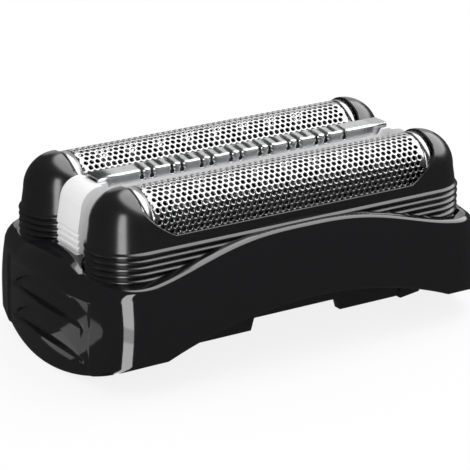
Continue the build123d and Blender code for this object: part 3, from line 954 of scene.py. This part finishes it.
@dataclass
class Interior:
    """The CAD nodes that stay as they are, with their finishes."""

    kept: dict[str, Finish] = field(default_factory=lambda: {
        "drive_bridge": GREY_PLASTIC,
        "front_foil_springs": SPRING_STEEL,
        "rear_foil_springs": SPRING_STEEL,
        "front_cutter_blades": BLADE_STEEL_PAINTED_SHADE,
        "rear_cutter_blades": BLADE_STEEL_PAINTED_SHADE,
        "front_cutter_carrier": DARK_CARRIER,
        "rear_cutter_carrier": DARK_CARRIER,
        "front_cutter_spring": SPRING_STEEL,
        "rear_cutter_spring": SPRING_STEEL,
        # Painted shade: the trimmer blade is dressed dark so the comb's slits above it read as dark
        # gaps.
        "trimmer_blade": BLADE_STEEL_PAINTED_SHADE,
        "trimmer_driver": GREY_PLASTIC,
        "trimmer_springs": SPRING_STEEL,
    })

    def dress(self) -> None:
        """Give each kept node its finish."""
        for node, finish in self.kept.items():
            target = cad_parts[node]
            target.data.materials.clear()
            target.data.materials.append(finish.material())
            LOG.info("%s: CAD node in %s", node, finish.slot)


@dataclass(frozen=True)
class SoftBox:
    """A rectangular lamp that lights the object and shows in no reflection."""

    name: str
    way: tuple[float, float]
    distance: float
    size: tuple[float, float]
    radiance: float


@dataclass
class Studio:
    """White floor and surround, soft lamps, cards for the reflections and the camera."""

    azimuth: float = -32.35
    elevation: float = 19.819
    distance: float = 302.8
    target: tuple[float, float, float] = (-0.8817, -0.0618, 10.7465)
    lens: float = 190.06
    floor_size: float = 4000.0
    floor_tone: float = 0.8
    floor_glow: float = 0.85
    fill: float = 0.88
    tent_radius: float = 420.0
    tent_tone: float = 0.06
    tent_lift: float = 0.05
    window_way: tuple[float, float] = (90.0, 58.0)
    window_cosine: float = 0.71
    window_radius: float = 335.0
    window_radiance: float = 3.4
    back_way: tuple[float, float] = (148.0, 20.0)
    back_radius: float = 150.0
    back_radiance: float = 0.8
    card_distance: float = 380.0
    strip_azimuth: float = -42.0
    strip_spread: float = 12.0
    strip_reach: float = 30.0
    strip_distance: float = 75.0
    strip_width: float = 32.0
    strip_top: float = 96.0
    strip_radiance: float = 5.0
    strip_dim: float = 0.65
    strip_foot: tuple[float, float] = (-23.5, -11.0)
    strip_lifts: tuple[float, float] = (0.15, 0.1)
    left_patch: tuple[float, float, float, float] = (-48.0, -2.5, -31.0, 6.5)
    left_lift: float = 0.2
    left_radiance: float = 0.6
    lamp_aim: tuple[float, float, float] = (0.0, 0.0, 15.0)
    lamps: tuple[SoftBox, ...] = (
        SoftBox("right_box", (90.0, 58.0), 380.0, (300.0, 260.0), 2.6),
        SoftBox("left_box", (-50.0, 42.0), 400.0, (260.0, 260.0), 1.1),
    )

    @staticmethod
    def heading(azimuth: float, elevation: float) -> Vector:
        """A direction by its compass angle from the front and its height angle, in degrees."""
        turn, rise = radians(azimuth), radians(elevation)
        return Vector((sin(turn) * cos(rise), -cos(turn) * cos(rise), sin(rise)))

    def camera(self) -> None:
        """Set the camera at the photograph's place."""
        back = self.heading(self.azimuth, self.elevation)
        data = bpy.data.cameras.new("camera")
        data.sensor_fit = "HORIZONTAL"
        data.sensor_width = 36.0
        data.lens = self.lens
        data.clip_start = 0.01
        data.clip_end = 20.0
        camera = bpy.data.objects.new("camera", data)
        camera.location = (Vector(self.target) + back * self.distance) * MM
        camera.rotation_euler = back.to_track_quat("Z", "Y").to_euler()
        bpy.context.scene.collection.objects.link(camera)
        bpy.context.scene.camera = camera

    @staticmethod
    def seen(nodes: bpy.types.Nodes, links: bpy.types.NodeLinks) -> bpy.types.NodeSocket:
        """A factor that is 1 for camera, glossy and transmission rays.

        Args:
            nodes: The tree's nodes.
            links: The tree's links.

        Returns:
            The socket that carries the factor.
        """
        path = nodes.new("ShaderNodeLightPath")
        total = path.outputs["Is Camera Ray"]
        for name in ("Is Glossy Ray", "Is Transmission Ray"):
            add = nodes.new("ShaderNodeMath")
            add.operation = "MAXIMUM"
            links.new(total, add.inputs[0])
            links.new(path.outputs[name], add.inputs[1])
            total = add.outputs[0]
        return total

    def surround(self) -> None:
        """White world behind the object and a softer fill on it."""
        world = bpy.data.worlds.new("surround")
        bpy.context.scene.world = world
        world.use_nodes = True
        nodes, links = world.node_tree.nodes, world.node_tree.links
        mix = nodes.new("ShaderNodeMixShader")
        links.new(self.seen(nodes, links), mix.inputs[0])
        sides = ((nodes["Background"], self.fill), (nodes.new("ShaderNodeBackground"), 1.0))
        for index, (side, strength) in enumerate(sides, start=1):
            side.inputs["Color"].default_value = (1.0, 1.0, 1.0, 1.0)
            side.inputs["Strength"].default_value = strength
            links.new(side.outputs[0], mix.inputs[index])
        links.new(mix.outputs[0], nodes["World Output"].inputs["Surface"])

    @staticmethod
    def rectangle(width: float, height: float) -> bmesh.types.BMesh:
        """A flat rectangle round the origin, in millimetres."""
        bm = bmesh.new()
        bmesh.ops.create_grid(bm, x_segments=1, y_segments=1, size=0.5)
        bmesh.ops.scale(bm, vec=(width, height, 1), verts=bm.verts)
        return bm

    def floor(self) -> None:
        """A white floor that keeps a faint shadow."""
        paper = bpy.data.materials.new("floor_paper")
        paper.use_nodes = True
        nodes, links = paper.node_tree.nodes, paper.node_tree.links
        nodes.remove(nodes["Principled BSDF"])
        matt = nodes.new("ShaderNodeBsdfDiffuse")
        matt.inputs["Color"].default_value = (*[self.floor_tone] * 3, 1.0)
        glow = nodes.new("ShaderNodeEmission")
        glow.inputs["Strength"].default_value = 1.0
        part = nodes.new("ShaderNodeMath")
        part.operation = "MULTIPLY"
        part.inputs[1].default_value = self.floor_glow
        links.new(self.seen(nodes, links), part.inputs[0])
        mix = nodes.new("ShaderNodeMixShader")
        for index, source in enumerate((part, matt, glow)):
            links.new(source.outputs[0], mix.inputs[index])
        links.new(mix.outputs[0], nodes["Material Output"].inputs["Surface"])
        piece = into_scene("floor", self.rectangle(self.floor_size, self.floor_size), paper)

    def card(self, name: str, bm: bmesh.types.BMesh, radiance: float) -> None:
        """A card that only shows in the reflections of glossy surfaces.

        Args:
            name: The card's name.
            bm: Its shape in millimetres.
            radiance: How bright it is, where 1 is white.
        """
        paint = bpy.data.materials.new(name + "_paint")
        paint.use_nodes = True
        nodes, links = paint.node_tree.nodes, paint.node_tree.links
        nodes.remove(nodes["Principled BSDF"])
        glow = nodes.new("ShaderNodeEmission")
        glow.inputs["Strength"].default_value = radiance
        links.new(glow.outputs[0], nodes["Material Output"].inputs["Surface"])
        paint.cycles.emission_sampling = "NONE"
        piece = into_scene(name, bm, paint)
        piece.visible_camera = False
        piece.visible_diffuse = False
        piece.visible_transmission = False
        piece.visible_volume_scatter = False
        piece.visible_shadow = False

    def tent(self) -> None:
        """A dark tent round the object, open towards the upper right, and its dark ground."""
        window = self.heading(*self.window_way)
        bm = bmesh.new()
        bmesh.ops.create_uvsphere(bm, u_segments=64, v_segments=32, radius=self.tent_radius)
        cut(bm, window * self.window_cosine * self.tent_radius, window)
        self.card("dark_tent", bm, self.tent_tone)
        bm = bmesh.new()
        bmesh.ops.create_circle(bm, segments=96, radius=self.tent_radius, cap_ends=True)
        bmesh.ops.translate(bm, vec=(0, 0, self.tent_lift), verts=bm.verts)
        self.card("dark_ground", bm, self.tent_tone)

    def wedge(self, name: str, reach: float, height: float, radiance: float) -> None:
        """A bright wedge along the ground, with its point under the near corner.

        Args:
            name: The card's name.
            reach: How far it goes.
            height: How far it lies above the floor.
            radiance: How bright it is.
        """
        bm = bmesh.new()
        bmesh.ops.create_circle(bm, segments=96, radius=reach, cap_tris=True, cap_ends=True)
        for sign in (-1, 1):
            edge = self.heading(self.strip_azimuth + sign * (90 + self.strip_spread), 0)
            cut(bm, Vector((0, 0, 0)), edge)
        bmesh.ops.translate(bm, vec=(*self.strip_foot, height), verts=bm.verts)
        self.card(name, bm, radiance)

    def strip(self) -> None:
        """The bright strip beside the camera that runs down the near dome and the near corner."""
        bright, dim = self.strip_radiance, self.strip_radiance * self.strip_dim
        near_lift, far_lift = self.strip_lifts
        self.wedge("strip_near_ground", self.strip_reach, near_lift, bright)
        self.wedge("strip_far_ground", self.strip_distance, far_lift, dim)
        bm = self.rectangle(self.strip_width, self.strip_top)
        for angle, axis in ((pi / 2, "X"), (radians(self.strip_azimuth), "Z")):
            bmesh.ops.rotate(bm, matrix=Matrix.Rotation(angle, 3, axis), verts=bm.verts)
        place = Vector((*self.strip_foot, self.strip_top / 2))
        place += self.heading(self.strip_azimuth, 0) * self.strip_distance
        bmesh.ops.translate(bm, vec=place, verts=bm.verts)
        self.card("strip_card", bm, bright)

    def left_ground(self) -> None:
        """A pale patch of ground beside the left end, which the end panel reflects."""
        west, south, east, north = self.left_patch
        bm = self.rectangle(east - west, north - south)
        middle = ((east + west) / 2, (north + south) / 2, self.left_lift)
        bmesh.ops.translate(bm, vec=middle, verts=bm.verts)
        self.card("left_patch", bm, self.left_radiance)

    def disc(self, name: str, way: tuple[float, float], radius: float, radiance: float) -> None:
        """A round card that faces the object.

        Args:
            name: The card's name.
            way: Azimuth and elevation of where it stands.
            radius: Its radius.
            radiance: How bright it is.
        """
        bm = bmesh.new()
        bmesh.ops.create_circle(bm, segments=64, radius=radius, cap_ends=True)
        facing = self.heading(*way)
        bmesh.ops.rotate(bm, matrix=facing.to_track_quat("Z", "Y").to_matrix(), verts=bm.verts)
        bmesh.ops.translate(bm, vec=facing * self.card_distance, verts=bm.verts)
        self.card(name, bm, radiance)

    def lamp(self, box: SoftBox) -> None:
        """Set up a soft lamp.

        Args:
            box: Where it stands, its width and height, and its radiance, where 1 is white.
        """
        place = self.heading(*box.way) * box.distance
        data = bpy.data.lights.new(box.name, "AREA")
        data.shape = "RECTANGLE"
        data.size, data.size_y = box.size[0] * MM, box.size[1] * MM
        data.energy = box.radiance * pi * data.size * data.size_y
        lamp = bpy.data.objects.new(box.name, data)
        lamp.location = place * MM
        lamp.rotation_euler = (place - Vector(self.lamp_aim)).to_track_quat("Z", "Y").to_euler()
        lamp.visible_camera = False
        lamp.visible_glossy = False
        bpy.context.scene.collection.objects.link(lamp)

    def build(self) -> None:
        """Set up the studio."""
        bpy.context.scene.view_settings.view_transform = "Standard"
        self.camera()
        self.surround()
        self.floor()
        self.tent()
        self.strip()
        self.left_ground()
        self.disc("bright_window", self.window_way, self.window_radius, self.window_radiance)
        self.disc("back_card", self.back_way, self.back_radius, self.back_radiance)
        for box in self.lamps:
            self.lamp(box)


def main() -> None:
    """Build the pieces in order, then the studio."""
    logging.basicConfig(level=logging.INFO, format="%(name)s %(message)s")
    OuterFrame().build()
    for side in Side:
        FoilUnit(side).build()
    TrimmerComb().build()
    rails = Rails(reach=19.2, ramp=0.5, above=21.0, drop=0.75)
    softened_copy("trimmer_housing", WHITE_PLASTIC, Body.TRIMMER, width=0.22, segments=3, rails=rails)
    softened_copy("base_plate", BLACK_SATIN, Body.FRAME, width=0.12)
    Interior().dress()
    Studio().build()


if __name__ == "__main__":
    main()
